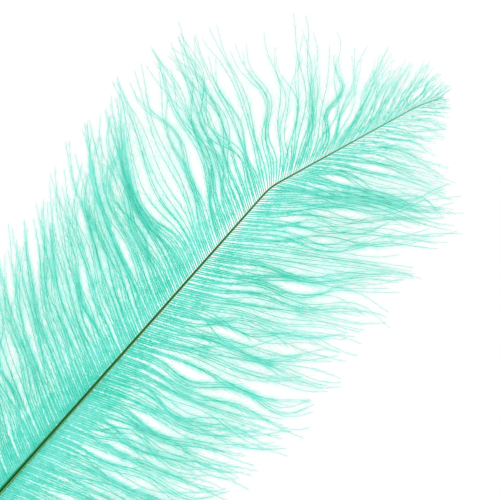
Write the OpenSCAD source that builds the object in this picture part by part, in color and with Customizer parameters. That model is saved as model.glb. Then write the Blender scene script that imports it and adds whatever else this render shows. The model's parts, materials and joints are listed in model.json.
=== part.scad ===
// A single dyed ostrich plume, as sold for hats, masks and headdresses.
// The origin is on the quill's axis, half way up its straight grip. +Z runs up the shaft, the vane
// lies in the XZ plane, its grooved face looks along -Y, and the upper end leans towards +X.
// A feather's shaft bends all along its length. Here it is cut into stiff lengths, and each cut is a
// ball seat, so that the next length can tip about the seat's own centre.

/* [Quill] */
// Radius of the quill's straight grip
quill_r = 2.15; // [1.7:0.05:2.6]
// Length of the straight grip, half of it below the origin
grip_len = 38; // [26:1:50]
// Wall of the hollow quill
quill_wall = 0.45; // [0.3:0.05:0.6]
// Length of the closed point below the grip
point_len = 5; // [3:0.5:8]
// Radius of the small hole in the point
pore_r = 0.5; // [0.3:0.05:0.7]
// Length of the neck that narrows from the grip to the shaft
neck_len = 5; // [3:0.5:10]
// How many dried pulp caps stand in the hollow
cap_count = 6; // [3:1:9]
// Height of one pulp cap
cap_height = 3.2; // [2:0.2:3.6]
// Thickness of a pulp cap's skin
cap_skin = 0.15; // [0.1:0.05:0.25]
// Clearance between a pulp cap and the quill's wall
cap_gap = 0.03; // [0.02:0.01:0.1]

/* [Shaft lengths] */
// Length of shaft between the quill and the first bend
base_len = 68; // [50:1:90]
// Length of the lower shaft
lower_len = 92; // [70:1:115]
// Length of the middle shaft
middle_len = 88; // [70:1:110]
// Length of the upper shaft
upper_len = 79; // [60:1:100]
// Length of the shaft's crook, above the last bend
crook_len = 88; // [70:1:110]
// Length of the shaft's solid end
end_len = 13.6; // [10:0.2:18]

/* [Shaft radii] */
// Shaft radius where it leaves the quill
shaft_r_foot = 1.95; // [1.7:0.05:2.15]
// Shaft radius at the base bend
shaft_r_base = 1.62; // [1.4:0.02:1.7]
// Shaft radius at the lower bend
shaft_r_lower = 1.08; // [0.9:0.02:1.3]
// Shaft radius at the middle bend
shaft_r_middle = 0.75; // [0.66:0.01:0.88]
// Shaft radius at the crook bend
shaft_r_upper = 0.48; // [0.42:0.01:0.6]
// Shaft radius at the top of the crook
shaft_r_crook = 0.3; // [0.26:0.01:0.36]
// Shaft radius at the very end
shaft_r_end = 0.2; // [0.16:0.01:0.24]
// Thickness of the horn shell, as a share of the shaft's radius there
horn_share = 0.28; // [0.2:0.01:0.4]
// Clearance between the pith and the horn shell
pith_gap = 0.03; // [0.02:0.01:0.06]
// Clearance in each ball seat
seat_gap = 0.08; // [0.06:0.01:0.1]

/* [Shaft curve] */
// Forward lean at the lower bend, in degrees
lean_middle = 1; // [0:0.5:3]
// Forward lean added at the middle bend
lean_upper = 2; // [0:0.5:4]
// Forward lean added at the crook bend
lean_crook = 7; // [0:0.5:10]
// Sideways turn of the shaft at the crook bend
turn_crook = 19.7; // [10:0.1:24]
// Forward lean added at the solid end
lean_end = 5; // [0:0.5:8]
// Sideways turn added at the solid end
turn_end = 9; // [0:0.5:12]

/* [Vane] */
// Length of the longest barbs on the left side
left_len = 97; // [75:1:120]
// Length of the longest barbs on the right side
right_len = 108; // [85:1:130]
// Distance along the shaft between two barbs
barb_pitch = 4; // [3.2:0.1:5]
// Width of a long barb at its root
barb_w = 1.8; // [1.2:0.1:2.2]
// Depth of a barb, through the vane
barb_t = 1.2; // [0.6:0.1:1.6]
// Angle between a barb's root and the shaft, below the crook
root_angle = 63; // [54:1:68]
// How far the middle of a barb bows outwards, in degrees
bow_angle = 12; // [6:1:18]
// How far a barb's tip turns forwards, in degrees
hook_angle = 12; // [6:1:24]
// How far neighbouring locks fold out of the vane, in degrees
splay_angle = 4; // [0:0.5:5]

/* [Hidden] */
SEGMENTS = ["base", "lower", "middle", "upper", "crook", "end"];
SIDES = ["left", "right"];
LOCKS = [2, 3, 3, 3, 3];

segment_len = [base_len, lower_len, middle_len, upper_len, crook_len, end_len];
segment_r = [shaft_r_foot, shaft_r_base, shaft_r_lower, shaft_r_middle, shaft_r_upper,
             shaft_r_crook, shaft_r_end];
segment_lean = [0, 0, lean_middle, lean_upper, lean_crook, lean_end];
segment_turn = [0, 0, 0, 0, turn_crook, turn_end];

shaft_foot_z = grip_len / 2 + neck_len;
bore_r = quill_r - quill_wall;
bore_top_z = grip_len / 2;
tube_faces = 64;
seat_faces = 48;
barb_steps = 9;
barb_tip_share = 0.35;
least_width_share = 0.35;
root_width_share = 1.4;
root_depth_share = 1.2;
root_sink_share = 0.4;
end_barb_share = 0.05;
crook_segment = 4;

// Height along the shaft, from its foot, where segment i starts.
function segment_start(i) = i == 0 ? 0 : segment_start(i - 1) + segment_len[i - 1];
shaft_len = segment_start(5) + end_len;

crook_start = segment_start(crook_segment);

// Barb length as a share of the longest barb on that side, against the share of the way up to the
// crook, and then of the way from there to the tip: short down at the foot, then full, then falling.
LENGTH_BELOW_CROOK = [[0, 0.46], [0.12, 0.72], [0.3, 0.92], [0.5, 1], [0.85, 1], [1, 0.92]];
LENGTH_IN_CROOK = [[0, 0.9], [0.36, 0.62], [0.7, 0.34], [0.86, 0.18], [1, 0.05]];
function share_up_crook(height) = (height - crook_start) / (shaft_len - crook_start);
function length_share(height) =
    height < crook_start
        ? lookup(height / crook_start, LENGTH_BELOW_CROOK)
        : lookup(share_up_crook(height), LENGTH_IN_CROOK);

// Root angle in the crook as a share of root_angle. Round the bend the left barbs fan open and the
// right barbs close up, and on both sides they close on the shaft towards the tip.
LEFT_FAN = [[0, 1.26], [0.36, 0.92], [0.7, 0.73], [0.86, 0.55], [1, 0.3]];
RIGHT_FAN = [[0, 0.68], [0.36, 0.6], [0.7, 0.54], [0.86, 0.46], [1, 0.3]];
function barb_root_angle(height, side) =
    height < crook_start
        ? root_angle
        : root_angle * lookup(share_up_crook(height), side == 0 ? LEFT_FAN : RIGHT_FAN);

// Direction of a barb at t, its share of the way from root to tip, measured from the shaft.
function barb_heading(t, root) =
    root + bow_angle * (root / root_angle) * sin(180 * t) - hook_angle * pow(t, 2);

// Centre line of a barb: the steps of its heading added up, one after the other.
function barb_line(len, root, start_u, i = 0, at = [0, 0]) =
    i > barb_steps ? []
        : let (heading = barb_heading((i + 0.5) / barb_steps, root), step = len / barb_steps)
          concat([[start_u + at[0], at[1]]],
                 barb_line(len, root, start_u, i + 1, at + step * [sin(heading), cos(heading)]));

// Outline of a barb: its centre line moved half its width to each side. It starts no wider than the
// shaft can hold, and narrows to the tip.
function barb_outline(len, root, shaft_r, width) =
    let (line = barb_line(len, root, root_sink_share * shaft_r),
         root_width = min(width, root_width_share * shaft_r),
         taper = [for (i = [0 : barb_steps]) width * (1 - (1 - barb_tip_share) * i / barb_steps)],
         half = [for (i = [0 : barb_steps]) (i == 0 ? root_width : taper[i]) / 2],
         heading = [for (i = [0 : barb_steps]) barb_heading(i / barb_steps, root)])
    concat([for (i = [0 : barb_steps]) line[i] + half[i] * [cos(heading[i]), -sin(heading[i])]],
           [for (i = [barb_steps : -1 : 0]) line[i] - half[i] * [cos(heading[i]), -sin(heading[i])]]);

// Barbs of segment i: how many it holds on a side, and where each one has its root. They are spread
// evenly, half a space from each end, so the spacing carries on across a bend.
function barb_count(i) = round(segment_len[i] / barb_pitch);
function barb_z(i, n) = (n + 0.5) * segment_len[i] / barb_count(i);

function lock_name(i, side, k) = str(SEGMENTS[i], "_", SIDES[side], "_barbs_", k + 1);

// Places its children in the frame of segment i, which starts at the origin and runs up +Z.
module on_segment(i) {
    if (i == 0)
        translate([0, 0, shaft_foot_z]) children();
    else
        on_segment(i - 1) translate([0, 0, segment_len[i - 1]])
            rotate([segment_lean[i], 0, 0]) rotate([0, segment_turn[i], 0]) children();
}

module shaft_cone(i) {
    cylinder(h = segment_len[i], r1 = segment_r[i], r2 = segment_r[i + 1], $fn = seat_faces);
}

// The hollow of the horn shell: a cone inside the outer cone, clear of the seats at both ends.
module pith_cone(i, gap) {
    foot_r = segment_r[i];
    top_r = segment_r[i + 1];
    core = 1 - horn_share;
    translate([0, 0, 2 * foot_r + gap])
        cylinder(h = segment_len[i] - 2 * foot_r - top_r - 2 * gap,
                 r1 = foot_r * core - gap, r2 = top_r * core - gap, $fn = seat_faces);
}

// Hollow horn tube that a band or socket grips, closed at the point but for its small hole.
module quill() {
    color("#2f7f5c")
    difference() {
        union() {
            translate([0, 0, -grip_len / 2]) cylinder(h = grip_len, r = quill_r, $fn = tube_faces);
            translate([0, 0, grip_len / 2])
                cylinder(h = neck_len, r1 = quill_r, r2 = shaft_r_foot, $fn = tube_faces);
            translate([0, 0, -grip_len / 2 - point_len])
                cylinder(h = point_len, r1 = pore_r + quill_wall, r2 = quill_r, $fn = tube_faces);
        }
        translate([0, 0, -grip_len / 2])
            cylinder(h = grip_len / 2 + bore_top_z, r = bore_r, $fn = tube_faces);
        translate([0, 0, bore_top_z])
            cylinder(h = neck_len / 2, r1 = bore_r, r2 = pore_r, $fn = tube_faces);
        translate([0, 0, -grip_len / 2 - point_len])
            cylinder(h = point_len, r1 = pore_r, r2 = bore_r, $fn = tube_faces);
    }
}

// Thin dried cups, one above the other, left in the hollow by the growing feather.
module pulp_caps() {
    spacing = (grip_len - cap_height) / max(cap_count - 1, 1);
    outer_r = bore_r - cap_gap;
    peak_r = pore_r;
    color("#cfe3c8")
    for (k = [0 : cap_count - 1])
        translate([0, 0, -grip_len / 2 + k * spacing])
            difference() {
                cylinder(h = cap_height, r1 = outer_r, r2 = peak_r, $fn = seat_faces);
                translate([0, 0, -cap_skin])
                    cylinder(h = cap_height, r1 = outer_r, r2 = peak_r, $fn = seat_faces);
            }
}

// One length of the shaft's horn shell. Its top is a ball, and its foot is a seat round the ball below.
module horn(i) {
    color("#1f6b45")
    on_segment(i)
        difference() {
            union() {
                shaft_cone(i);
                if (i < 5)
                    translate([0, 0, segment_len[i]]) sphere(r = segment_r[i + 1], $fn = seat_faces);
            }
            if (i > 0)
                sphere(r = segment_r[i] + (i < 5 ? seat_gap : 0), $fn = seat_faces);
            if (i < 4)
                pith_cone(i, 0);
        }
}

// The white spongy core of one length of shaft.
module pith(i) {
    color("#e9f3dd")
    on_segment(i) pith_cone(i, pith_gap);
}

// One barb in the frame of its segment, growing to +X, flat in the vane.
module barb(i, z, side) {
    height = segment_start(i) + z;
    share = length_share(height);
    len = share * (side == 0 ? left_len : right_len);
    r = segment_r[i] + (segment_r[i + 1] - segment_r[i]) * z / segment_len[i];
    width = barb_w * max(share, least_width_share);
    depth = min(barb_t, root_depth_share * segment_r[i + 1]);
    translate([0, depth / 2, z])
        rotate([90, 0, 0])
            linear_extrude(height = depth)
                polygon(barb_outline(len, barb_root_angle(height, side), r, width));
}

// Barbs number first to last of one side, cut back to the shaft's own surface.
module barb_row(i, side, first, last) {
    difference() {
        mirror([side == 0 ? 1 : 0, 0, 0])
            for (n = [first : last]) barb(i, barb_z(i, n), side);
        shaft_cone(i);
    }
}

// One lock: the barbs that lie together, folded a little out of the vane as one.
module lock(i, side, k) {
    count = barb_count(i);
    first = floor(k * count / LOCKS[i]);
    last = floor((k + 1) * count / LOCKS[i]) - 1;
    fold = splay_angle * (k % 2 == 0 ? 1 : -1) * (side == 0 ? 1 : -1);
    color(side == 0 ? "#48dcb6" : "#6fe8cb")
    on_segment(i) rotate([0, 0, fold]) barb_row(i, side, first, last);
}

// The short barbs of the shaft's solid end, and the last one, which carries on from its point.
module tip_tuft() {
    color("#9df0dc")
    on_segment(5) {
        for (side = [0, 1]) barb_row(5, side, 0, barb_count(5) - 1);
        translate([0, 0, end_len])
            cylinder(h = end_barb_share * left_len, r1 = shaft_r_end, r2 = shaft_r_end / 2,
                     $fn = seat_faces);
    }
}

quill();
pulp_caps();
for (i = [0 : 5])
    horn(i);
for (i = [0 : 3])
    pith(i);
for (i = [0 : 4]) for (side = [0, 1]) for (k = [0 : LOCKS[i] - 1])
    lock(i, side, k);
tip_tuft();
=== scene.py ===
import json
import math

import bpy
import numpy as np
from mathutils import Matrix, Vector


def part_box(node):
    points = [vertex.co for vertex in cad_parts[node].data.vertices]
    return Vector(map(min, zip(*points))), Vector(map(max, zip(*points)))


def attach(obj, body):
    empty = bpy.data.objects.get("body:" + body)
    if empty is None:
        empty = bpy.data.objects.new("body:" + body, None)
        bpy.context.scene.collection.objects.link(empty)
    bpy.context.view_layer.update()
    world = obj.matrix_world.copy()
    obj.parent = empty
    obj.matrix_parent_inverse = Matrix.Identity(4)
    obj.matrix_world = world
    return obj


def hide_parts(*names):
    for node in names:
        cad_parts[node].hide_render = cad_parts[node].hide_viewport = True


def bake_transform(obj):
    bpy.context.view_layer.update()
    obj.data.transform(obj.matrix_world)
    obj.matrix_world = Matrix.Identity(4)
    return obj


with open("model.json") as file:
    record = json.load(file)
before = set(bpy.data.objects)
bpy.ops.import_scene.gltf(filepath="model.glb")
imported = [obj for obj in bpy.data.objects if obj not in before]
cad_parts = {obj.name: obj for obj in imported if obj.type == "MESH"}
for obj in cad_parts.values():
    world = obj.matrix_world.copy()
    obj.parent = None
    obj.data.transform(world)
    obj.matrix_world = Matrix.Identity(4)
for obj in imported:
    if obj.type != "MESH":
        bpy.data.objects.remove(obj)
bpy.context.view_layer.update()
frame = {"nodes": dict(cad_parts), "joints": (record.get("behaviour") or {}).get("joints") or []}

# ---------------------------------------------------------------------------------------------
# Camera
# It looks square at the plume's grooved face from a little way off, and is rolled, so that the
# shaft climbs to the upper right and its lowest part and the quill lie below the view.
crook_seat = Vector(frame["joints"][3]["pos_m"])
aim_from_crook = Vector((0.0140, 0.0030, -0.0320))
camera_aim = crook_seat + aim_from_crook
camera_lens = 100.0
camera_sensor = 36.0
view_width = 0.265
climb = math.radians(48.4)
farthest_seen = 20.0

camera_data = bpy.data.cameras.new("camera")
camera_data.lens = camera_lens
camera_data.sensor_width = camera_sensor
camera_data.clip_end = farthest_seen
camera = bpy.data.objects.new("camera", camera_data)
camera_right = Vector((math.sin(climb), 0.0, math.cos(climb)))
camera_up = Vector((-math.cos(climb), 0.0, math.sin(climb)))
camera_back = Vector((0.0, -1.0, 0.0))
camera_turn = Matrix((camera_right, camera_up, camera_back)).transposed().to_4x4()
camera_distance = view_width * camera_lens / camera_sensor
camera.matrix_world = Matrix.Translation(camera_aim + camera_back * camera_distance) @ camera_turn
bpy.context.scene.collection.objects.link(camera)
bpy.context.scene.camera = camera

# ---------------------------------------------------------------------------------------------
# Quill
# The bare foot of the feather: a hollow barrel of clear horn that grows out of the skin, with a
# closed point, a pore at its end, and a neck that narrows to the shaft. It is one piece with it.
quill_low, quill_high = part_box("quill")
quill_radius = (quill_high.x - quill_low.x) / 2


def colour(red, green, blue):
    """Linear colour from the usual numbers of 0 to 255, by the standard screen curve: a straight
    foot, and above it a power of 2.4."""
    shares = [value / 255 for value in (red, green, blue)]
    linear = [((c + 0.055) / 1.055) ** 2.4 if c > 0.04045 else c / 12.92 for c in shares]
    return (*linear, 1.0)


def new_piece(name, points, starts, corners, place, material, smooth):
    """A piece from whole arrays: its points, the first corner of each face, the point at each
    corner, and each corner's place on the piece's own map."""
    mesh = bpy.data.meshes.new(name)
    mesh.vertices.add(len(points))
    mesh.vertices.foreach_set("co", points.astype(np.float32).ravel())
    mesh.loops.add(len(corners))
    mesh.loops.foreach_set("vertex_index", corners.astype(np.int32))
    mesh.polygons.add(len(starts))
    mesh.polygons.foreach_set("loop_start", starts.astype(np.int32))
    mesh.polygons.foreach_set("use_smooth", np.full(len(starts), smooth))
    layer = mesh.uv_layers.new(name="OFBake", do_init=False)
    layer.uv.foreach_set("vector", place.astype(np.float32).ravel())
    mesh.materials.append(material)
    mesh.update(calc_edges=True)
    mesh.validate()
    piece = bpy.data.objects.new(name, mesh)
    bpy.context.scene.collection.objects.link(piece)
    return piece


def ring_skin(rings, closed_length):
    """Quads over a grid of rings. Each ring closes on itself, and the row of rings either closes
    too, as a hollow tube's outside and inside do, or ends in two flat caps."""
    count, round_count, _ = rings.shape
    index = np.arange(count * round_count).reshape(count, round_count)
    after = np.roll(index, -1, axis=0) if closed_length else index[1:]
    before = index if closed_length else index[:-1]
    quads = np.stack([before, np.roll(before, -1, axis=1), np.roll(after, -1, axis=1), after],
                     axis=-1)
    rows = len(quads)
    u = np.arange(round_count) / round_count
    v = np.arange(rows) / rows
    low_u, low_v = np.meshgrid(u, v)
    high_u, high_v = low_u + 1 / round_count, low_v + 1 / rows
    place = np.stack([low_u, low_v, high_u, low_v, high_u, high_v, low_u, high_v], axis=-1)
    place = place.reshape(-1, 2)
    corners = quads.reshape(-1)
    starts = np.arange(rows * round_count) * 4
    if not closed_length:
        turn = np.linspace(0, 2 * np.pi, round_count, endpoint=False)
        cap = np.stack([0.5 + 0.4 * np.cos(turn), 0.5 + 0.4 * np.sin(turn)], axis=-1) / round_count
        starts = np.concatenate([starts, len(corners) + np.array([0, round_count])])
        corners = np.concatenate([corners, index[0, ::-1], index[-1]])
        place = np.concatenate([place, cap[::-1], cap])
    return rings.reshape(-1, 3), starts, corners, place


def put(material, **values):
    """Sets plain numbers and colours on the material's own shader."""
    shader = material.node_tree.nodes["Principled BSDF"]
    for socket, value in values.items():
        shader.inputs[socket.replace("_", " ")].default_value = value
    return shader


def grain_group():
    """Grain of horn: a noise drawn out along Z, as a mask from 0 to 1 and as a height."""
    group = bpy.data.node_groups.new("horn grain", "ShaderNodeTree")
    group.interface.new_socket("Across", in_out="INPUT", socket_type="NodeSocketFloat")
    group.interface.new_socket("Mask", in_out="OUTPUT", socket_type="NodeSocketFloat")
    group.interface.new_socket("Height", in_out="OUTPUT", socket_type="NodeSocketFloat")
    given = group.nodes.new("NodeGroupInput")
    result = group.nodes.new("NodeGroupOutput")
    coordinates = group.nodes.new("ShaderNodeTexCoord")
    drawn = group.nodes.new("ShaderNodeMapping")
    drawn.inputs["Scale"].default_value = (1.0, 1.0, 0.05)
    group.links.new(coordinates.outputs["Object"], drawn.inputs["Vector"])
    noise = group.nodes.new("ShaderNodeTexNoise")
    noise.inputs["Detail"].default_value = 4.0
    group.links.new(drawn.outputs["Vector"], noise.inputs["Vector"])
    group.links.new(given.outputs["Across"], noise.inputs["Scale"])
    spread = group.nodes.new("ShaderNodeMapRange")
    spread.inputs["From Min"].default_value = 0.35
    spread.inputs["From Max"].default_value = 0.65
    group.links.new(noise.outputs["Fac"], spread.inputs["Value"])
    group.links.new(spread.outputs["Result"], result.inputs["Mask"])
    group.links.new(noise.outputs["Fac"], result.inputs["Height"])
    return group


horn_grain = grain_group()


def grained_horn(name, deep, pale, across, bump):
    """Horn whose grain mixes two colours and stands up a little."""
    material = bpy.data.materials.new(name)
    material.use_nodes = True
    tree = material.node_tree
    shader = put(material, Roughness=0.32, Specular_IOR_Level=0.5)
    grain = tree.nodes.new("ShaderNodeGroup")
    grain.node_tree = horn_grain
    grain.inputs["Across"].default_value = across
    tint = tree.nodes.new("ShaderNodeMix")
    tint.data_type = "RGBA"
    tint.inputs["A"].default_value = deep
    tint.inputs["B"].default_value = pale
    tree.links.new(grain.outputs["Mask"], tint.inputs["Factor"])
    tree.links.new(tint.outputs["Result"], shader.inputs["Base Color"])
    relief = tree.nodes.new("ShaderNodeBump")
    relief.inputs["Strength"].default_value = 0.35
    relief.inputs["Distance"].default_value = bump
    tree.links.new(grain.outputs["Height"], relief.inputs["Height"])
    tree.links.new(relief.outputs["Normal"], shader.inputs["Normal"])
    return material


quill_green = colour(138, 190, 156)
quill_grain_scale = 900.0
quill_grain_depth = 0.0001
quill_horn = grained_horn("clear quill horn", colour(104, 168, 136), colour(168, 206, 172),
                          quill_grain_scale, quill_grain_depth)
quill_wall = 0.00045
pore_radius = 0.0005
point_length = 0.005
neck_length = 0.005
swell = 0.01
swell_radians_per_metre = 900
oval_share = 0.985
shaft_low, shaft_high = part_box("base_horn")
foot_radius = (shaft_high.x - shaft_low.x) / 2


def quill_rings():
    """A profile turned about the quill's axis. Its outside runs up from the pore over the rounded
    point, the barrel and the neck, and its inside comes back down, one wall within it. The barrel
    is very slightly oval, and swells and thins a little along its length."""
    rise = np.linspace(0, 1, 10)
    point_z = quill_low.z + point_length * (1 - np.cos(rise * np.pi / 2))
    point_r = pore_radius + (quill_radius - pore_radius) * np.sin(rise * np.pi / 2)
    barrel_z = np.linspace(quill_low.z + point_length, quill_high.z - neck_length, 30)[1:]
    neck_z = np.linspace(quill_high.z - neck_length, quill_high.z, 8)[1:]
    narrowing = np.linspace(0, 1, 8)[1:]
    neck_r = quill_radius + (foot_radius - quill_radius) * (3 - 2 * narrowing) * narrowing ** 2
    outer_z = np.concatenate([point_z, barrel_z, neck_z])
    outer_r = np.concatenate([point_r, np.full(len(barrel_z), quill_radius), neck_r])
    inner_z = outer_z[::-1].clip(quill_low.z + quill_wall, quill_high.z)
    inner_r = (outer_r[::-1] - quill_wall).clip(pore_radius * 0.9)
    z = np.concatenate([outer_z, inner_z])
    r = np.concatenate([outer_r, inner_r]) * (1 - swell * (1 + np.sin(z * swell_radians_per_metre)))
    turn = np.linspace(0, 2 * np.pi, 40, endpoint=False)
    x = r[:, None] * np.cos(turn)
    y = r[:, None] * np.sin(turn) * oval_share
    return np.stack([x, y, np.broadcast_to(z[:, None], x.shape)], axis=-1)


quill = new_piece("quill_barrel", *ring_skin(quill_rings(), True), quill_horn, True)
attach(quill, "quill")
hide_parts("quill")

# ---------------------------------------------------------------------------------------------
# Shaft line
# The shaft grows straight out of the quill, leans a little forward, and turns aside at the crook.
# Its line goes through the seats of the four bends, and is rounded where it turns.
end_low, end_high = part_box("end_horn")
shaft_foot = np.array([0.0, 0.0, quill_high.z])
seats = [np.array(joint["pos_m"]) for joint in frame["joints"]]
crook_top = np.array([end_low.x, end_high.y, end_low.z])
shaft_tip = np.array([end_high.x, end_low.y, end_high.z])
line_step = 0.00025
rounding = 0.018


def shaft_line():
    """Points, directions and lengths along the shaft. Each stretch between two seats has its own
    direction; the directions are averaged over a short window, and their running sum is the
    line."""
    corners = np.array([shaft_foot, *seats, crook_top, shaft_tip])
    stretches = np.diff(corners, axis=0)
    lengths = np.linalg.norm(stretches, axis=1)
    ends = np.cumsum(lengths)
    along = np.arange(0.0, ends[-1], line_step)
    stretch = np.searchsorted(ends, along).clip(0, len(lengths) - 1)
    heading = (stretches / lengths[:, None])[stretch]
    window = np.hanning(int(rounding / line_step))
    window /= window.sum()
    pad = len(window) // 2
    padded = np.pad(heading, ((pad, len(window) - 1 - pad), (0, 0)), mode="edge")
    smooth = np.stack([np.convolve(padded[:, k], window, "valid") for k in range(3)], axis=1)
    smooth /= np.linalg.norm(smooth, axis=1)[:, None]
    places = shaft_foot + np.cumsum(smooth * line_step, axis=0) - smooth[:1] * line_step
    return places, smooth, along, ends


line_places, line_headings, line_along, stretch_ends = shaft_line()
shaft_length = line_along[-1]
bend_along = stretch_ends[:4]
bodies = ["quill", "lower_shaft", "middle_shaft", "upper_shaft", "crook"]
# One piece hands over to the next half way along each stiff length, away from every bend. The last
# one starts well past the crook.
half_ways = [(low + high) / 2 for low, high in zip([0.0, *bend_along[:3]], bend_along)]
past_crook = 0.040
zone_edges = [0.0, *half_ways, bend_along[3] + past_crook, shaft_length]
last_zone = 5


def along_shaft(along):
    """Place on the shaft, its direction, the way to the right in the vane and the way out of the
    grooved face, for lengths along the shaft."""
    place = np.stack([np.interp(along, line_along, line_places[:, k]) for k in range(3)], axis=-1)
    ahead = np.stack([np.interp(along, line_along, line_headings[:, k]) for k in range(3)], axis=-1)
    ahead /= np.linalg.norm(ahead, axis=-1)[..., None]
    front = np.cross(ahead, np.array([1.0, 0.0, 0.0]))
    front /= np.linalg.norm(front, axis=-1)[..., None]
    front *= -np.sign(front[..., 1:2])
    right = np.cross(front, ahead)
    right *= np.sign(right[..., 0:1])
    return place, ahead, right, front


def half_width(node):
    """Half of a node's width from left to right."""
    low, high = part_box(node)
    return (high.x - low.x) / 2


# The shaft's radius at the foot, the four bends, the top of the crook and the tip.
radius_knots = [0.0, *bend_along, stretch_ends[4], stretch_ends[5]]
radius_values = [foot_radius, half_width("lower_horn"), half_width("middle_horn"),
                 half_width("upper_horn"), 0.00048, 0.00032, 0.00020]


def shaft_radius(along):
    """The shaft's radius at lengths along it, straight between the known places."""
    return np.interp(along, radius_knots, radius_values)


def join_zone(piece, zone):
    """A piece of the first or last zone rides on its body. One that crosses a bend is baked in
    place and rides on no body."""
    if zone in (0, last_zone):
        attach(piece, bodies[0 if zone == 0 else -1])
    else:
        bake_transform(piece)


# ---------------------------------------------------------------------------------------------
# Shaft
# Hard horn, rounded behind and grooved in front, that thins from the quill to the tip. The
# groove's darkest stripe is painted shade, the pale line on the flank beside it is a painted
# highlight, and the dye pales near the quill.
ring_step = 0.001
round_count = 32
groove_depth = 0.16
groove_half_angle = 0.32
# Stripes round the shaft, from its right side over the groove, at a quarter, and the back: the
# near-black stripe in the groove is painted shade, the pale one beside it a painted highlight, and
# the rest the dyed horn's colour.
shaft_band_painted_light = [(0.00, colour(8, 84, 40)), (0.105, colour(10, 104, 50)),
              (0.132, colour(104, 206, 122)), (0.172, colour(114, 204, 108)),
              (0.198, colour(30, 90, 24)), (0.222, colour(8, 42, 6)),
              (0.27, colour(5, 48, 12)), (0.31, colour(4, 100, 46)),
              (0.36, colour(10, 148, 92)), (0.5, colour(12, 176, 128)),
              (0.9, colour(12, 176, 128)), (1.0, colour(8, 92, 46))]


def ramp(tree, stops):
    """A colour ramp node with these stops, each a place from 0 to 1 and a colour."""
    node = tree.nodes.new("ShaderNodeValToRGB")
    elements = node.color_ramp.elements
    while len(elements) < len(stops):
        elements.new(0.5)
    for element, (place, value) in zip(elements, stops):
        element.position = place
        element.color = value
    return node


def shaft_skin(zone, outer, inner):
    """Rings carried along the shaft's line: a circle with a shallow groove down its front, as wide
    as the shaft is there times the outer share. Where there is an inner share, the rings come back
    at that share, and leave the hollow that holds the pith."""
    low, high = zone_edges[zone], zone_edges[zone + 1]
    along = np.linspace(low, high, max(int((high - low) / ring_step), 2))
    turn = np.linspace(0, 2 * np.pi, round_count, endpoint=False)
    groove = 1 - groove_depth * np.exp(-((turn - np.pi / 2) / groove_half_angle) ** 2)
    across, out = np.cos(turn)[None, :, None], np.sin(turn)[None, :, None]
    place, _, right, front = along_shaft(along)
    side = across * right[:, None] + out * front[:, None]

    def rings(share):
        """The rings at this share of the shaft's radius."""
        radius = shaft_radius(along)[:, None, None] * share * groove[None, :, None]
        return place[:, None] + radius * side

    if inner:
        return ring_skin(np.concatenate([rings(outer), rings(inner)[::-1]]), True)
    return ring_skin(rings(outer), False)


foot_pale_below = 0.002
foot_pale_above = 0.040
shaft_grain_scale = 2600.0
shaft_grain_depth = 0.00005
shaft_horn = bpy.data.materials.new("dyed shaft horn with painted light")
shaft_horn.use_nodes = True
shaft_tree = shaft_horn.node_tree
shaft_shader = put(shaft_horn, Specular_IOR_Level=0.18)
shaft_map = shaft_tree.nodes.new("ShaderNodeUVMap")
shaft_map.uv_map = "OFBake"
shaft_parts = shaft_tree.nodes.new("ShaderNodeSeparateXYZ")
shaft_tree.links.new(shaft_map.outputs["UV"], shaft_parts.inputs[0])
# These stripes paint shade into the groove and a highlight onto the flank beside it.
shaft_stripes_painted_light = ramp(shaft_tree, shaft_band_painted_light)
shaft_tree.links.new(shaft_parts.outputs["X"], shaft_stripes_painted_light.inputs["Fac"])
shaft_height = shaft_tree.nodes.new("ShaderNodeTexCoord")
shaft_height_parts = shaft_tree.nodes.new("ShaderNodeSeparateXYZ")
shaft_tree.links.new(shaft_height.outputs["Object"], shaft_height_parts.inputs[0])
shaft_rise = shaft_tree.nodes.new("ShaderNodeMapRange")
shaft_rise.inputs["From Min"].default_value = seats[3][2]
shaft_rise.inputs["From Max"].default_value = shaft_tip[2]
shaft_tree.links.new(shaft_height_parts.outputs["Z"], shaft_rise.inputs["Value"])
shaft_fade = shaft_tree.nodes.new("ShaderNodeMix")
shaft_fade.data_type = "RGBA"
shaft_fade.inputs["B"].default_value = colour(116, 200, 168)
shaft_tree.links.new(shaft_rise.outputs["Result"], shaft_fade.inputs["Factor"])
foot_rise = shaft_tree.nodes.new("ShaderNodeMapRange")
foot_rise.inputs["From Min"].default_value = quill_high.z - foot_pale_below
foot_rise.inputs["From Max"].default_value = quill_high.z + foot_pale_above
shaft_tree.links.new(shaft_height_parts.outputs["Z"], foot_rise.inputs["Value"])
foot_fade = shaft_tree.nodes.new("ShaderNodeMix")
foot_fade.data_type = "RGBA"
foot_fade.inputs["A"].default_value = quill_green
shaft_tree.links.new(foot_rise.outputs["Result"], foot_fade.inputs["Factor"])
shaft_tree.links.new(shaft_stripes_painted_light.outputs["Color"], foot_fade.inputs["B"])
shaft_tree.links.new(foot_fade.outputs["Result"], shaft_fade.inputs["A"])
shaft_grain = shaft_tree.nodes.new("ShaderNodeGroup")
shaft_grain.node_tree = horn_grain
shaft_grain.inputs["Across"].default_value = shaft_grain_scale
shaft_streaks = shaft_tree.nodes.new("ShaderNodeMapRange")
shaft_streaks.inputs["To Max"].default_value = 0.35
shaft_tree.links.new(shaft_grain.outputs["Mask"], shaft_streaks.inputs["Value"])
shaft_dark = shaft_tree.nodes.new("ShaderNodeMix")
shaft_dark.data_type = "RGBA"
shaft_dark.blend_type = "MULTIPLY"
shaft_dark.inputs["B"].default_value = colour(120, 194, 152)
shaft_tree.links.new(shaft_streaks.outputs["Result"], shaft_dark.inputs["Factor"])
shaft_tree.links.new(shaft_fade.outputs["Result"], shaft_dark.inputs["A"])
shaft_tree.links.new(shaft_dark.outputs["Result"], shaft_shader.inputs["Base Color"])
shaft_polish = shaft_tree.nodes.new("ShaderNodeMapRange")
shaft_polish.inputs["To Min"].default_value = 0.40
shaft_polish.inputs["To Max"].default_value = 0.60
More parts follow.
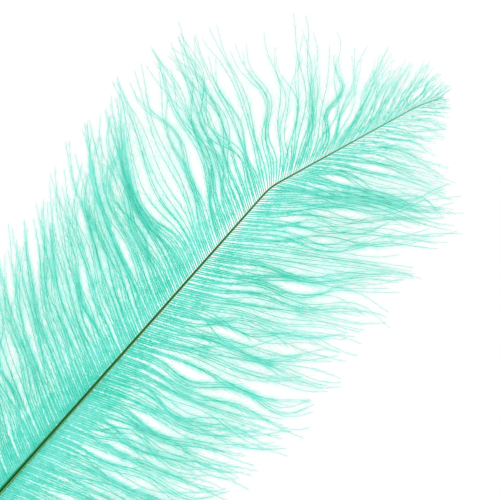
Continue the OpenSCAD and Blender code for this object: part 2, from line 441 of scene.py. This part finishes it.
shaft_tree.links.new(shaft_grain.outputs["Mask"], shaft_polish.inputs["Value"])
shaft_tree.links.new(shaft_polish.outputs["Result"], shaft_shader.inputs["Roughness"])
shaft_relief = shaft_tree.nodes.new("ShaderNodeBump")
shaft_relief.inputs["Strength"].default_value = 0.3
shaft_relief.inputs["Distance"].default_value = shaft_grain_depth
shaft_tree.links.new(shaft_grain.outputs["Height"], shaft_relief.inputs["Height"])
shaft_tree.links.new(shaft_relief.outputs["Normal"], shaft_shader.inputs["Normal"])

horn_share = 0.72
hollow_zones = 4
shaft_names = ["foot", "base_bend", "lower_bend", "middle_bend", "crook_bend", "tip"]
shaft_segments = ["base", "lower", "middle", "upper", "crook", "end"]
for zone, (name, segment) in enumerate(zip(shaft_names, shaft_segments)):
    hollow = horn_share if zone < hollow_zones else 0
    horn = new_piece(f"{name}_horn_skin", *shaft_skin(zone, 1.0, hollow), shaft_horn, True)
    join_zone(horn, zone)
    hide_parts(f"{segment}_horn")

# ---------------------------------------------------------------------------------------------
# Pith
# Spongy white cells fill the shaft's hollow as far as the crook. They grow there with the horn,
# and the dye hardly reaches them. They show only where the shaft is cut.
pith_clearance = 0.03
pith_cell_scale = 9000.0
pith = bpy.data.materials.new("shaft pith")
pith.use_nodes = True
pith_shader = put(pith, Roughness=0.9)
pith_tree = pith.node_tree
pith_cells = pith_tree.nodes.new("ShaderNodeTexVoronoi")
pith_cells.inputs["Scale"].default_value = pith_cell_scale
pith_coordinates = pith_tree.nodes.new("ShaderNodeTexCoord")
pith_tree.links.new(pith_coordinates.outputs["Object"], pith_cells.inputs["Vector"])
pith_tint = ramp(pith_tree, [(0.0, colour(238, 240, 224)), (1.0, colour(196, 220, 200))])
pith_tree.links.new(pith_cells.outputs["Distance"], pith_tint.inputs["Fac"])
pith_tree.links.new(pith_tint.outputs["Color"], pith_shader.inputs["Base Color"])
pith_share = horn_share - pith_clearance
for zone, (name, segment) in enumerate(zip(shaft_names[:hollow_zones], shaft_segments)):
    core = new_piece(f"{name}_pith_core", *shaft_skin(zone, pith_share, 0), pith, True)
    join_zone(core, zone)
    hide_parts(f"{segment}_pith")

# ---------------------------------------------------------------------------------------------
# Barbs
# A barb is a thin tapering strand of horn that grows out of the shaft's side. Its neighbours cling
# to it in locks. They grow out as a comb, then wave, part from each other and turn towards the
# tip.
barb_space = 0.0013
barb_points = 28
side_names = ("left", "right")
side_signs = (-1.0, 1.0)
# How barbs change from the foot to the tip, at these lengths along the shaft, first on the left
# side and then on the right: their length, and in degrees from the shaft's direction how they
# stand at the root, how far they bow from it midway, and how far they have turned from it at the
# point.
place_knots = [0.0, 0.012, 0.03, 0.08, 0.15, 0.22, 0.27, 0.30,
               0.315, 0.327, 0.340, 0.355, 0.380, 0.400, 0.415, 0.429]
barb_length_knots = (
    [0.014, 0.038, 0.064, 0.088, 0.101, 0.107, 0.106, 0.103,
     0.096, 0.087, 0.078, 0.065, 0.046, 0.034, 0.018, 0.006],
    [0.016, 0.042, 0.070, 0.096, 0.105, 0.105, 0.106, 0.106,
     0.104, 0.096, 0.085, 0.070, 0.044, 0.028, 0.015, 0.005])
root_turn_knots = (
    [84, 76, 66, 65, 65, 64, 63, 60, 57, 53, 45, 35, 27, 24, 22, 16],
    [84, 77, 70, 69, 68, 66, 60, 54, 50, 44, 36, 33, 31, 30, 26, 16])
middle_turn_knots = (
    [0, 0, 0, 0, 0, 0, 2, 8, 6, 2, 2, 4, 4, 0, 0, 0],
    [6, 6, 6, 7, 9, 7, 2, 1, 2, 5, 5, 4, 4, 4, 2, 0])
tip_turn_knots = (
    [-10, -14, -16, -16, -17, -17, -14, 2, 16, 28, 30, 20, 9, 2, 0, 0],
    [-8, -9, -12, -13, -14, -16, -16, -12, -6, 4, 10, 15, 16, 14, 8, 0])
# How strongly the barbs wave, as a share of the waves below.
wildness = (
    [1.9, 1.8, 1.4, 1, 1, 1, 1.2, 1.7, 1.9, 1.9, 1.8, 1.5, 1.2, 1, 1, 1],
    [1.9, 1.8, 1.4, 1, 1.1, 1.2, 1.3, 1.4, 1.4, 1.4, 1.2, 1, 1, 1, 1, 1])
# Swings of a barb's heading in degrees, and how many waves it makes from root to point. Some are
# shared by the whole vane near by, some by a patch of it, some by a lock, and some are a barb's
# own.
vane_bow, vane_sway, vane_sway_half_waves = 3.0, 2.5, 2.2
patch_wave, patch_wave_count, patch_wave_shift = 2.6, 1.3, 0.3
lock_wave, lock_wave_count, lock_wave_shift = 7.5, 1.9, 0.5
own_wave, own_wave_count, own_wave_shift = 5.0, 2.1, 0.5
own_aim, own_point_turn, lock_point_turn = 1.4, 6.0, 9.0
stray_share, stray_wave = 0.16, 12.0
# Degrees that a barb rises out of the vane on its way, in the same manner.
vane_lift, lock_lift, own_lift, patch_lift, stray_lift, even_lift = 2.5, 3.0, 2.0, 3.0, 4.0, 2.0
# On the left the vane parts below the crook. Early on their way, barbs below the parting swing out
# from the shaft and those above it swing towards the tip. Later both turn back, by these degrees.
part_below, part_above, part_width = 0.264, 0.285, 0.009
part_early, part_early_width = 0.28, 0.13
part_late, part_late_width = 0.62, 0.15
below_early, below_late = 34.0, 6.0
above_early, above_late = 20.0, 20.0
# How tightly barbs are drawn together, at least and at most.
lock_hold = (0.15, 0.70)
sheaf_hold = (0.0, 0.12)
stray_cling = 0.2
# Locks differ in length by this share, and barbs fall short of the longest by up to this one.
lock_length_change = 0.04
longest_share, own_length_loss = 1.04, 0.24
# A barb starts at this share of the shaft's radius from its middle, inside the horn.
root_depth = 0.75


def smoothstep(x):
    """0 up to 0, 1 from 1 on, and between them three squares less two cubes."""
    x = np.clip(x, 0.0, 1.0)
    return x * x * (3 - 2 * x)


def slow_noise(rng, along, wave, count):
    """Rows of random values that change smoothly along the shaft, over lengths of about wave."""
    knots = np.arange(-2, int(shaft_length / wave) + 4) * wave
    values = rng.standard_normal((count, len(knots)))
    place = (along - knots[0]) / wave
    low = np.floor(place).astype(int)
    mix = smoothstep(place - low)
    return values[:, low] * (1 - mix) + values[:, low + 1] * mix


def groups(rng, count, sizes, shares):
    """Splits a row of barbs into runs of random sizes: the first barb of each, and each barb's
    run."""
    run = rng.choice(sizes, p=shares, size=count)
    starts = np.concatenate([[0], np.cumsum(run)])
    starts = starts[starts < count]
    return starts, np.searchsorted(starts, np.arange(count), side="right") - 1


def hump(x, middle, width):
    """A smooth hump of height 1: the bell curve about its middle."""
    return np.exp(-((x - middle) / width) ** 2)


def draw_together(lines, starts, run, pull):
    """Moves each barb towards the mean line of its run, by the share that pull gives at each
    point."""
    sizes = np.diff([*starts, len(lines)])
    means = np.add.reduceat(lines, starts, axis=0) / sizes[:, None, None]
    return lines + (means[run] - lines) * pull[..., None]


def grow_barbs(side):
    """Lines of every barb on one side, as barb by point. A heading away from the shaft, which is
    the root's plus a bow, a turn at the tip and waves, is summed into a line; neighbours are then
    drawn together, first in locks of a few, then loosely in larger sheaves."""
    rng = np.random.default_rng(21 + side)
    count = int((shaft_length - 0.003) / barb_space)
    along = 0.002 + (np.arange(count) + 0.5 + rng.uniform(-0.2, 0.2, count)) * barb_space
    lock_starts, lock = groups(rng, count, [1, 2, 3, 4, 5], [0.18, 0.30, 0.27, 0.17, 0.08])
    sheaf_starts, sheaf = groups(rng, count, [6, 9, 13, 18, 24], [0.22, 0.28, 0.25, 0.15, 0.10])
    t = np.linspace(0.0, 1.0, barb_points)
    middle = (t[1:] + t[:-1]) / 2
    own = rng.standard_normal((6, count))[..., None]
    shared = rng.standard_normal((6, len(lock_starts)))[:, lock][..., None]
    wide = slow_noise(rng, along, 0.030, 4)[..., None]
    narrow = slow_noise(rng, along, 0.009, 4)[..., None]
    stray = (rng.uniform(size=count) < stray_share)[:, None]

    def knots(values):
        """A table's values at each barb."""
        return np.interp(along, place_knots, values)[:, None]

    def ripple(waves, shift):
        """A sine with this many waves from root to point, shifted by a share of a wave."""
        return np.sin(2 * np.pi * (waves * middle + shift))

    heading = knots(root_turn_knots[side])
    heading = heading + knots(middle_turn_knots[side]) * np.sin(np.pi * middle)
    heading = heading + knots(tip_turn_knots[side]) * middle ** 1.3
    free = smoothstep((middle - 0.06) / 0.25)
    wild = knots(wildness[side])
    bow = vane_bow * wide[0] * np.sin(np.pi * middle)
    sway = vane_sway * wide[1] * np.cos(vane_sway_half_waves * np.pi * middle)
    heading = heading + free * (bow + sway)
    patch_ripple = ripple(patch_wave_count, patch_wave_shift * narrow[1])
    lock_ripple = ripple(lock_wave_count, lock_wave_shift * shared[1])
    own_ripple = ripple(own_wave_count, own_wave_shift * own[4])
    heading = heading + free * wild * patch_wave * narrow[0] * patch_ripple
    heading = heading + free * wild * lock_wave * shared[0] * lock_ripple
    if side == 0:
        early = hump(middle, part_early, part_early_width)
        late = hump(middle, part_late, part_late_width)
        below = hump(along, part_below, part_width)[:, None]
        above = hump(along, part_above, part_width)[:, None]
        heading = heading + below * (below_early * early - below_late * late)
        heading = heading - above * (above_early * early - above_late * late)
    heading = heading + lock_point_turn * shared[2] * np.clip(middle - 0.5, 0, 1) / 0.5
    heading = heading + own_aim * own[0]
    heading = heading + free * wild * own_wave * own[1] * own_ripple
    heading = heading + own_point_turn * own[2] * middle ** 3
    heading = heading + stray * free * stray_wave * own[3] * np.sin(2 * np.pi * middle)
    lift = vane_lift * wide[2] * middle + lock_lift * shared[3] * np.sin(np.pi * middle)
    lift = lift + own_lift * own[4] * middle + patch_lift * narrow[2] * middle
    lift = lift + stray_lift * stray * own[5] * middle + even_lift * middle

    length = np.interp(along, place_knots, barb_length_knots[side])
    length = length * (1 + lock_length_change * shared[4][:, 0])
    length = length * (longest_share - own_length_loss * rng.uniform(size=count) ** 2)
    place, ahead, right, front = along_shaft(along)
    outward = right * side_signs[side]
    step = (length / (barb_points - 1))[:, None]
    heading, lift = np.radians(heading), np.radians(lift)
    out = (np.sin(heading) * np.cos(lift) * step)[..., None]
    on = (np.cos(heading) * np.cos(lift) * step)[..., None]
    off = (np.sin(lift) * step)[..., None]
    moves = out * outward[:, None] + on * ahead[:, None] + off * front[:, None]
    root = (place + outward * (root_depth * shaft_radius(along))[:, None])[:, None]
    lines = np.concatenate([root, root + np.cumsum(moves, axis=1)], axis=1)

    hold = rng.uniform(*lock_hold, len(lock_starts))[lock][:, None]
    cling = hold * smoothstep((t - 0.06) / 0.45) * (1 - 0.35 * smoothstep((t - 0.75) / 0.25))
    lines = draw_together(lines, lock_starts, lock, np.where(stray, stray_cling, 1.0) * cling)
    hold = rng.uniform(*sheaf_hold, len(sheaf_starts))[sheaf][:, None]
    lines = draw_together(lines, sheaf_starts, sheaf, hold * np.sin(np.pi * t ** 1.2) ** 2)
    return along, length, lines


def directions(lines):
    """Direction of travel at every point of the lines, from its neighbours."""
    ahead = np.gradient(lines, axis=1)
    return ahead / np.linalg.norm(ahead, axis=2)[..., None]


def strand_skin(lines, widths, rows):
    """Three-sided tapering strands: three corners round each point of a line, joined by quads,
    with a triangle at each end. Along the map runs the strand's length, and up it one row for each
    barb."""
    count, points, _ = lines.shape
    ahead = directions(lines)
    side = np.cross(ahead, np.array([0.0, 1.0, 0.0]))
    side /= np.linalg.norm(side, axis=2)[..., None]
    face = np.cross(side, ahead)
    turn = np.radians([90.0, 210.0, 330.0])
    ring = np.cos(turn)[:, None] * side[:, :, None] + np.sin(turn)[:, None] * face[:, :, None]
    rings = lines[:, :, None] + ring * (widths[..., None, None] / 2)
    index = np.arange(count * points * 3).reshape(count, points, 3)
    before, after = index[:, :-1], index[:, 1:]
    quads = np.stack([before, np.roll(before, -1, axis=2), np.roll(after, -1, axis=2), after],
                     axis=-1)
    caps = np.concatenate([index[:, 0, ::-1], index[:, -1]])
    quads = quads.reshape(-1, 4)
    corners = np.concatenate([quads.ravel(), caps.ravel()])
    starts = np.concatenate([np.arange(len(quads)) * 4, len(quads) * 4 + np.arange(len(caps)) * 3])
    u = np.broadcast_to(np.linspace(0, 1, points)[None, :, None], (count, points, 3))
    v = (np.arange(count)[:, None, None] + np.array([0.12, 0.5, 0.88])) / rows
    place = np.stack([u, np.broadcast_to(v, u.shape)], axis=-1).reshape(-1, 2)
    return rings.reshape(-1, 3), starts, corners, place[corners]


def dye_group():
    """Dye taken up unevenly: a coarse and a fine noise, mixed into one strength from 0 to 1."""
    group = bpy.data.node_groups.new("uneven dye", "ShaderNodeTree")
    group.interface.new_socket("Coarse", in_out="INPUT", socket_type="NodeSocketFloat")
    group.interface.new_socket("Fine", in_out="INPUT", socket_type="NodeSocketFloat")
    group.interface.new_socket("Strength", in_out="OUTPUT", socket_type="NodeSocketFloat")
    given = group.nodes.new("NodeGroupInput")
    result = group.nodes.new("NodeGroupOutput")
    coordinates = group.nodes.new("ShaderNodeTexCoord")
    mix = group.nodes.new("ShaderNodeMix")
    mix.inputs["Factor"].default_value = 0.5
    for socket, end in (("Coarse", "A"), ("Fine", "B")):
        noise = group.nodes.new("ShaderNodeTexNoise")
        noise.inputs["Detail"].default_value = 2.0
        group.links.new(coordinates.outputs["Object"], noise.inputs["Vector"])
        group.links.new(given.outputs[socket], noise.inputs["Scale"])
        group.links.new(noise.outputs["Fac"], mix.inputs[end])
    spread = group.nodes.new("ShaderNodeMapRange")
    spread.inputs["From Min"].default_value = 0.38
    spread.inputs["From Max"].default_value = 0.62
    group.links.new(mix.outputs["Result"], spread.inputs["Value"])
    group.links.new(spread.outputs["Result"], result.inputs["Strength"])
    return group


uneven_dye = dye_group()


def dyed_keratin(name, thin, deep, tip, roughness):
    """Dyed strands: the uneven dye goes from thin to deep, the last third pales towards tip, and
    the strand is a little glossier where it took more dye."""
    material = bpy.data.materials.new(name)
    material.use_nodes = True
    tree = material.node_tree
    shader = put(material, Specular_IOR_Level=0.25)
    dye = tree.nodes.new("ShaderNodeGroup")
    dye.node_tree = uneven_dye
    dye.inputs["Coarse"].default_value = 40.0
    dye.inputs["Fine"].default_value = 220.0
    taken = tree.nodes.new("ShaderNodeMix")
    taken.data_type = "RGBA"
    taken.inputs["A"].default_value = thin
    taken.inputs["B"].default_value = deep
    tree.links.new(dye.outputs["Strength"], taken.inputs["Factor"])
    own_map = tree.nodes.new("ShaderNodeUVMap")
    own_map.uv_map = "OFBake"
    parts = tree.nodes.new("ShaderNodeSeparateXYZ")
    tree.links.new(own_map.outputs["UV"], parts.inputs[0])
    fade = tree.nodes.new("ShaderNodeMapRange")
    fade.inputs["From Min"].default_value = 0.65
    fade.inputs["From Max"].default_value = 1.3
    tree.links.new(parts.outputs["X"], fade.inputs["Value"])
    paled = tree.nodes.new("ShaderNodeMix")
    paled.data_type = "RGBA"
    paled.inputs["B"].default_value = tip
    tree.links.new(fade.outputs["Result"], paled.inputs["Factor"])
    tree.links.new(taken.outputs["Result"], paled.inputs["A"])
    tree.links.new(paled.outputs["Result"], shader.inputs["Base Color"])
    polish = tree.nodes.new("ShaderNodeMapRange")
    polish.inputs["To Min"].default_value = roughness + 0.12
    polish.inputs["To Max"].default_value = roughness - 0.08
    tree.links.new(dye.outputs["Strength"], polish.inputs["Value"])
    tree.links.new(polish.outputs["Result"], shader.inputs["Roughness"])
    return material


barb_horn = dyed_keratin("dyed barb horn", colour(72, 222, 193), colour(26, 195, 160),
                         colour(126, 224, 203), 0.4)
# A barb's width at these shares of its length. Shorter barbs than the last value are finer.
barb_width_places = [0.0, 0.12, 0.4, 1.0]
barb_widths = [0.00042, 0.00034, 0.00030, 0.00013]
full_width_length = 0.09

# ---------------------------------------------------------------------------------------------
# Barbules
# Each barb carries two fringes of hair-fine barbules, which hook to nothing, and so the plume is
# loose and soft. Near the shaft they stand close and fill the space between the barbs.
barbules_per_metre = 6600.0
thinned = 1.0
fewest_barbules = 4
# How full of barbules the barbs are, at the same lengths along the shaft and on the same sides as
# the barbs' tables. Below 1 there are fewer barbules, and above 1 they are wider.
fullness = (
    [1.2, 1.3, 1.3, 1.4, 1.4, 1.25, 1.1, 0.80, 0.80, 0.85, 0.80, 0.75, 0.6, 0.5, 0.45, 0.4],
    [1.2, 1.3, 1.3, 1.4, 1.4, 1.2, 1.0, 0.95, 0.9, 0.9, 0.9, 0.75, 0.55, 0.45, 0.4, 0.4])
# Near the plume's foot barbules fill the space beside the shaft, and from the crook on they leave
# it open as a comb. Towards the tip they gather more at the roots of the barbs.
filled_places, filled_shares = [0.12, 0.30], [1.0, 0.0]
bare_places, bare_shares = [0.18, 0.30], [0.0, 1.0]
gather_places, gather_powers = [0.22, 0.29, 0.33], [1.5, 1.9, 2.3]
close_share, close_length = 0.16, 0.014
bare_length, bare_loss = 0.008, 0.6
# A barbule's angle to its barb in degrees, its length and its width, at these lengths from the
# barb's root, and the last part of the barb, over which they shorten.
spread_places, spreads = [0.0, 0.004, 0.009, 0.03, 0.06], [48.0, 34.0, 24.0, 27.0, 30.0]
reach_places = [0.0, 0.004, 0.010, 0.030, 0.060]
reaches = [0.0015, 0.0018, 0.0026, 0.0048, 0.0056]
width_places, barbule_widths = [0.0, 0.008, 0.02, 0.05], [0.00016, 0.00012, 0.00008, 0.000055]
shortening_places, shortening_shares = [0.6, 1.0], [1.0, 0.3]
roll_spread = 32.0
# The two edges of a blade lean this way and that, and the one at the point is narrower.
edge_wide, edge_deep, point_share = 0.85, 0.53, 0.6
blade_faces = ([0, 1, 2], [0, 3, 1], [0, 2, 3], [1, 3, 2])
barbule_down = dyed_keratin("dyed barbule down", colour(150, 250, 240), colour(90, 242, 222),
                            colour(176, 248, 240), 0.6)


def barbule_skin(lines, length, grown, full, rows, rng):
    """Twisted blades, each the four faces between a short edge at the barb and one at its point,
    which is turned against it. They grow forward and out to both sides of the barb, more closely
    and more spread at its root, and lie along it further out."""
    count, points, _ = lines.shape
    ahead = directions(lines)
    closeness = full.clip(0.0, 1.0)
    breadth = full.clip(1.0, None)
    filled = np.interp(grown, filled_places, filled_shares)
    number = (length * barbules_per_metre * closeness * thinned).astype(int)
    number = np.maximum(number, fewest_barbules)
    barb = np.repeat(np.arange(count), number)
    total = len(barb)
    gather = np.interp(grown, gather_places, gather_powers)[barb]
    t = 0.004 + 0.98 * rng.uniform(size=total) ** gather
    close = rng.uniform(size=total) < close_share * filled[barb]
    near_root = rng.uniform(0.0, 1.0, total) ** 1.5 * close_length / length[barb]
    t = np.where(close, near_root, t)
    place = t * (points - 1)
    low = place.astype(int).clip(0, points - 2)
    mix = (place - low)[:, None]
    at = lines[barb, low] * (1 - mix) + lines[barb, low + 1] * mix
    way = ahead[barb, low] * (1 - mix) + ahead[barb, low + 1] * mix
    way /= np.linalg.norm(way, axis=1)[:, None]
    across = np.cross(way, np.array([0.0, 1.0, 0.0]))
    across /= np.linalg.norm(across, axis=1)[:, None]
    out = np.cross(across, way)
    from_root = t * length[barb]
    spread = np.interp(from_root, spread_places, spreads)
    spread = np.radians(spread * rng.uniform(0.5, 1.4, total))
    reach = np.interp(from_root, reach_places, reaches)
    reach = reach * np.interp(t, shortening_places, shortening_shares)
    reach = reach * rng.uniform(0.6, 1.3, total)
    bare = np.interp(grown, bare_places, bare_shares)[barb]
    bare = bare * (1 - smoothstep(from_root / bare_length))
    reach = reach * (1 - bare_loss * bare)
    spread = spread * (1 - bare_loss * bare)
    roll = np.radians(rng.normal(0.0, roll_spread, total))
    sign = np.where(rng.uniform(size=total) < 0.5, 1.0, -1.0)
    aside = (np.cos(roll) * sign)[:, None] * across + np.sin(roll)[:, None] * out
    point = np.cos(spread)[:, None] * way + np.sin(spread)[:, None] * aside
    wide = np.cross(point, out)
    wide /= np.linalg.norm(wide, axis=1)[:, None]
    deep = np.cross(wide, point)
    half = np.interp(from_root, width_places, barbule_widths)
    half = (half / 2 * breadth[barb] * rng.uniform(0.75, 1.25, total))[:, None]
    edge = edge_wide * wide + edge_deep * deep
    turned = edge_wide * wide - edge_deep * deep
    end = at + point * reach[:, None]
    corners = np.stack([at + edge * half, at - edge * half,
                        end + turned * half * point_share,
                        end - turned * half * point_share], axis=1)
    base = (np.arange(total) * 4)[:, None]
    order = np.concatenate([base + np.array(face) for face in blade_faces], axis=1).ravel()
    starts = np.arange(total * 4) * 3
    u = t[:, None] + np.array([-0.003, 0.003, -0.001, 0.004])
    v = (barb[:, None] + np.array([0.14, 0.14, 0.86, 0.80])) / rows
    place = np.stack([u.clip(0, 1), v], axis=-1).reshape(-1, 2)
    return corners.reshape(-1, 3), starts, order, place[order]


def stood_for(zone, side):
    """The CAD locks whose barbs grow in a zone on one side. The first lock of each length, or the
    first two at the crook, lie in the zone that ends on it, and the rest in the next."""
    segments = ["base", "lower", "middle", "upper", "crook"]
    found = ["tip_tuft"] if (zone, side) == (last_zone, 0) else []
    for node in frame["nodes"]:
        parts = node.split("_")
        if len(parts) == 4 and parts[1] == side_names[side] and parts[2] == "barbs":
            last = int(parts[3]) >= (3 if parts[0] == "crook" else 2)
            if segments.index(parts[0]) + last == zone:
                found.append(node)
    return found


# Each side's barbs and barbules are cut into pieces by the shaft's zones; pieces that cross a
# bend are baked in place like the shaft's.
for side in (0, 1):
    along, length, lines = grow_barbs(side)
    rng = np.random.default_rng(101 + side)
    full = np.interp(along, place_knots, fullness[side])
    widths = np.interp(np.linspace(0, 1, barb_points), barb_width_places, barb_widths)
    for zone in range(last_zone + 1):
        here = (along >= zone_edges[zone]) & (along < zone_edges[zone + 1])
        rows = int(here.sum())
        finer = np.clip(length[here] / full_width_length, 0.5, 1.0)[:, None]
        strands = strand_skin(lines[here], widths * finer, rows)
        barbs = new_piece(f"{side_names[side]}_barbs_{zone + 1}", *strands, barb_horn, True)
        join_zone(barbs, zone)
        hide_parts(*stood_for(zone, side))
        slot = "downy_barbs" if zone == 0 else f"{side_names[side]}_barbs"
        blades = barbule_skin(lines[here], length[here], along[here], full[here], rows, rng)
        fringe = new_piece(f"{side_names[side]}_barbules_{zone + 1}", *blades, barbule_down, False)
        join_zone(fringe, zone)

# ---------------------------------------------------------------------------------------------
# Pulp caps
# Dried skins stand one above the other in the quill's hollow. The pulp that fed the growing
# feather left them behind as it drew back, and they hold by their rims.
pulp_grain_scale = 1500.0
pulp_grain_depth = 0.00005
pulp_skin = grained_horn("dried pulp skin", colour(196, 206, 178), colour(226, 230, 206),
                         pulp_grain_scale, pulp_grain_depth)
for slot in bpy.data.objects["pulp_caps"].material_slots:
    slot.material = pulp_skin

# ---------------------------------------------------------------------------------------------
# Floor and light
# A small pale disc stands below the quill's point, in an evenly lit white room with two soft
# lamps.
floor_radius = 0.40
floor_sides = 96
floor_gap = 0.002
floor_z = quill_low.z - floor_gap
floor_turn = np.linspace(0, 2 * np.pi, floor_sides, endpoint=False)
floor_mesh = bpy.data.meshes.new("floor")
floor_points = np.stack([floor_radius * np.cos(floor_turn), floor_radius * np.sin(floor_turn),
                         np.full(floor_sides, floor_z)], axis=-1)
floor_mesh.from_pydata(floor_points.tolist(), [], [tuple(range(floor_sides))])
floor = bpy.data.objects.new("floor", floor_mesh)
bpy.context.scene.collection.objects.link(floor)
floor_white = bpy.data.materials.new("floor white")
floor_white.use_nodes = True
put(floor_white, Base_Color=(0.9, 0.9, 0.9, 1.0), Roughness=0.9)
floor_mesh.materials.append(floor_white)

room = bpy.data.worlds.new("white room")
room.use_nodes = True
room.node_tree.nodes["Background"].inputs["Color"].default_value = (1, 1, 1, 1)
room.node_tree.nodes["Background"].inputs["Strength"].default_value = 1.0
bpy.context.scene.world = room
bpy.context.scene.view_settings.view_transform = "Standard"
plume_middle = Vector((0.0, 0.0, 0.25))


def soft_lamp(name, place, size, power):
    """A square lamp of this size and power, turned to the middle of the plume."""
    lamp = bpy.data.lights.new(name, "AREA")
    lamp.size = size
    lamp.energy = power
    holder = bpy.data.objects.new(name, lamp)
    holder.location = place
    aim = plume_middle - Vector(place)
    holder.rotation_euler = aim.to_track_quat("-Z", "Y").to_euler()
    bpy.context.scene.collection.objects.link(holder)


lamp_size = 0.8
soft_lamp("front lamp", (-0.7, -1.3, 1.0), lamp_size, 4.0)
soft_lamp("back lamp", (0.9, 1.2, 0.9), lamp_size, 2.0)
